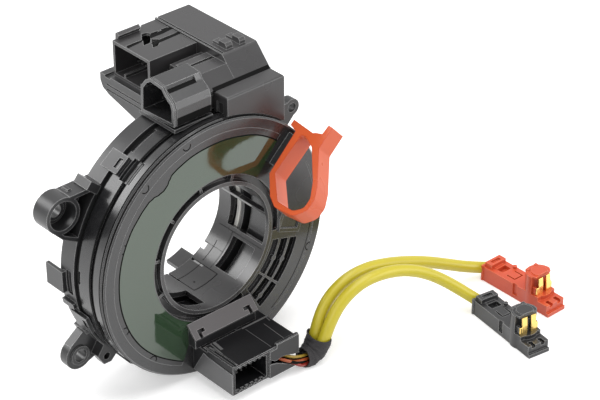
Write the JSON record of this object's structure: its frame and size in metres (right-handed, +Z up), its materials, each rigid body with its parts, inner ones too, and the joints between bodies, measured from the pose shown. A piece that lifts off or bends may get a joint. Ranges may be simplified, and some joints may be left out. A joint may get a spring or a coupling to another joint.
{
  "type": "steering clock spring",
  "caption": "Spiral cable unit for a steering column: flat ring case with a turning disc and bore, sockets on top and bottom, airbag leads with plugs and a lock clip.",
  "frame": {"origin": "on the bore's axis in the plane of the mounting face", "axes": "+Y along the bore away from the steering wheel, -Y towards the wheel, +Z up to the column-side sockets, +X to the right as seen from the wheel"},
  "size_m": [0.1944, 0.1406, 0.1272],
  "materials": {
    "black_case": "semi-gloss, moulded",
    "grey_bridge": "satin",
    "green_film": "glossy film",
    "clip_orange": "satin, moulded",
    "plug_orange": "satin, moulded",
    "lead_yellow": "satin sheath",
    "wire_red": "satin sheath",
    "tape_black": "woven tape",
    "contact_gold": "gold plated",
    "pin_tin": "tinned",
    "screw_steel": "plated",
    "board_green": "solder mask",
    "carrier_grey": "moulded",
    "gear_white": "moulded",
    "magnet_grey": "coated",
    "ribbon_clear": "film"
  },
  "bodies": {
    "stator": {"rear_case": "black_case", "middle_case": "black_case", "front_collar": "black_case", "connector_base": "black_case", "terminal_cover": "black_case", "front_box": "black_case", "large_socket_housing": "black_case", "small_socket_housing": "black_case", "large_socket_pins": "pin_tin", "small_socket_pins": "pin_tin", "busbar_block": "carrier_grey", "sensor_cover": "black_case", "case_screws": "screw_steel", "sensor_board": "board_green"},
    "rotor": {"rotor_disc": "black_case", "rotor_hub": "black_case", "film_label": "green_film", "drive_gear": "gear_white", "ribbon_cable": "ribbon_clear", "ribbon_clamp": "carrier_grey", "wheel_socket_housing": "black_case", "wheel_socket_pins": "pin_tin", "bridge_cover": "grey_bridge", "wire_guide": "black_case", "lead_wires": "wire_red", "tape_sleeve": "tape_black", "upper_lead": "lead_yellow", "lower_lead": "lead_yellow", "orange_plug": "plug_orange", "black_plug": "black_case", "orange_plug_contacts": "contact_gold", "black_plug_contacts": "contact_gold"},
    "gear_1": {"measuring_gear_1": "gear_white", "gear_1_magnet": "magnet_grey"},
    "gear_2": {"measuring_gear_2": "gear_white", "gear_2_magnet": "magnet_grey"},
    "clip": {"lock_clip": "clip_orange"},
    "orange_slider": {"orange_plug_slider": "plug_orange"},
    "black_slider": {"black_plug_slider": "black_case"}
  },
  "joints": [
    {"name": "rotor_turn", "type": "hinge", "parent": "stator", "child": "rotor", "pos_m": [0, 0, 0], "axis": [0, 1, 0], "range_deg": [-900, 900], "deforming": ["ribbon_cable"]},
    {"name": "gear_1_turn", "type": "hinge", "parent": "stator", "child": "gear_1", "pos_m": [0.0099, -0.0055, 0.03695], "axis": [0, 1, 0], "range_deg": [-3700, 3700]},
    {"name": "gear_2_turn", "type": "hinge", "parent": "stator", "child": "gear_2", "pos_m": [-0.01013, -0.0055, 0.03782], "axis": [0, 1, 0], "range_deg": [-3700, 3700]},
    {"name": "clip_pull", "type": "slide", "parent": "rotor", "child": "clip", "axis": [0, -1, 0], "range_m": [0, 0.012]},
    {"name": "orange_slider_push", "type": "slide", "parent": "rotor", "child": "orange_slider", "axis": [0, -1, 0], "range_m": [0, 0.003]},
    {"name": "black_slider_push", "type": "slide", "parent": "rotor", "child": "black_slider", "axis": [-0.155, -0.9879, 0], "range_m": [0, 0.003]}
  ],
  "couplings": [
    {"joint": "gear_1_turn", "follows": "rotor_turn", "ratio": -4},
    {"joint": "gear_2_turn", "follows": "rotor_turn", "ratio": -3.5789}
  ]
}
